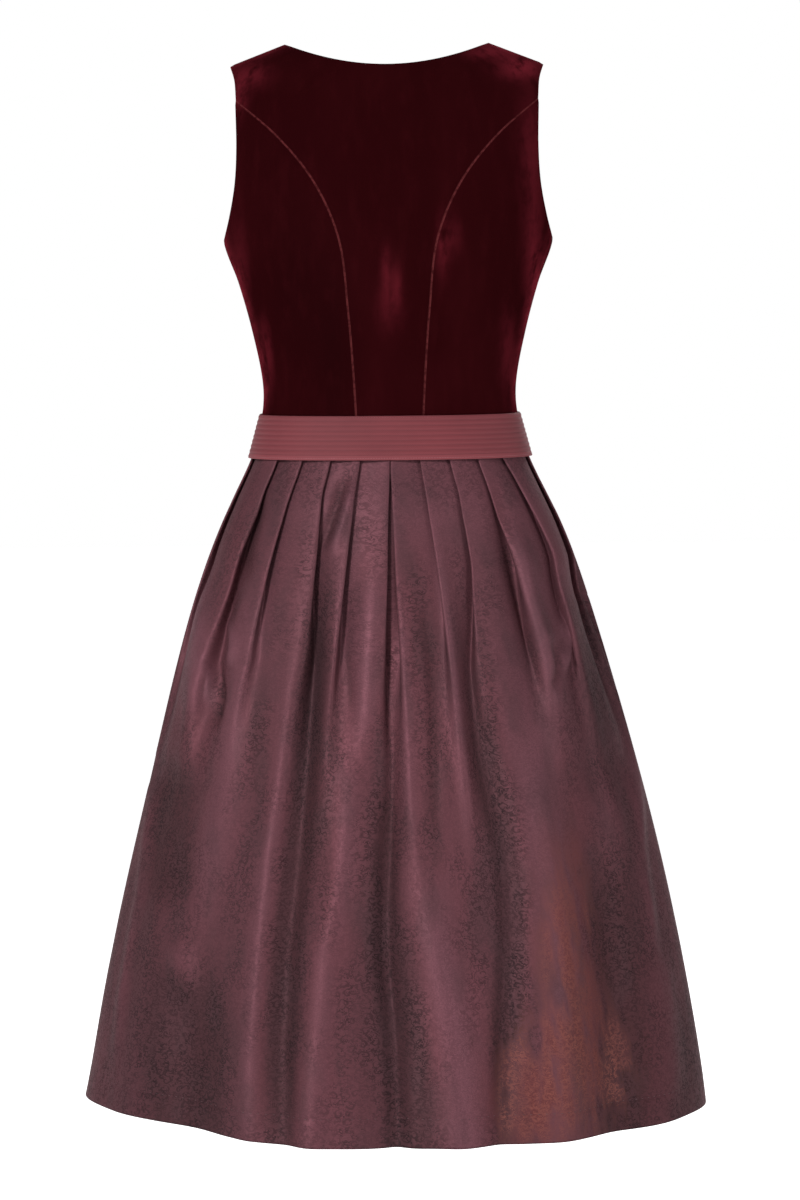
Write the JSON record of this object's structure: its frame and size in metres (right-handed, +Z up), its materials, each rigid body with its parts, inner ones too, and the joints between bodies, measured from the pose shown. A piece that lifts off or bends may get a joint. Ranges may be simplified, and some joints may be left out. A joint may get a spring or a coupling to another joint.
{
  "type": "dirndl dress",
  "caption": "Sleeveless dirndl dress with a seamed velvet bodice, a ribbed waistband and a knife-pleated midi skirt, filled out as worn.",
  "frame": {"origin": "midway between the shoulder seams, level with their ends at the neck, where the wearer's shoulders carry the dress", "axes": "+Z up along the body, -Y out of the front of the dress, +Y out of its back, +X to the wearer's left"},
  "size_m": [0.6262, 0.5257, 1.055],
  "materials": {
    "velvet_centre": "dark burgundy velvet, short pile with a rosy sheen",
    "velvet_side": "dark burgundy velvet, short pile with a rosy sheen",
    "ribbon": "ribbed old-rose ribbon with a soft sheen",
    "jacquard": "mauve-brown shot jacquard with a small scroll figure and a satin sheen"
  },
  "bodies": {
    "root": {"back_centre": "velvet_centre", "back_side_left": "velvet_side", "back_side_right": "velvet_side", "front_left": "velvet_centre", "front_right": "velvet_centre", "front_side_left": "velvet_side", "front_side_right": "velvet_side", "waistband": "ribbon", "skirt_back": "jacquard", "skirt_front": "jacquard"}
  },
  "joints": []
}
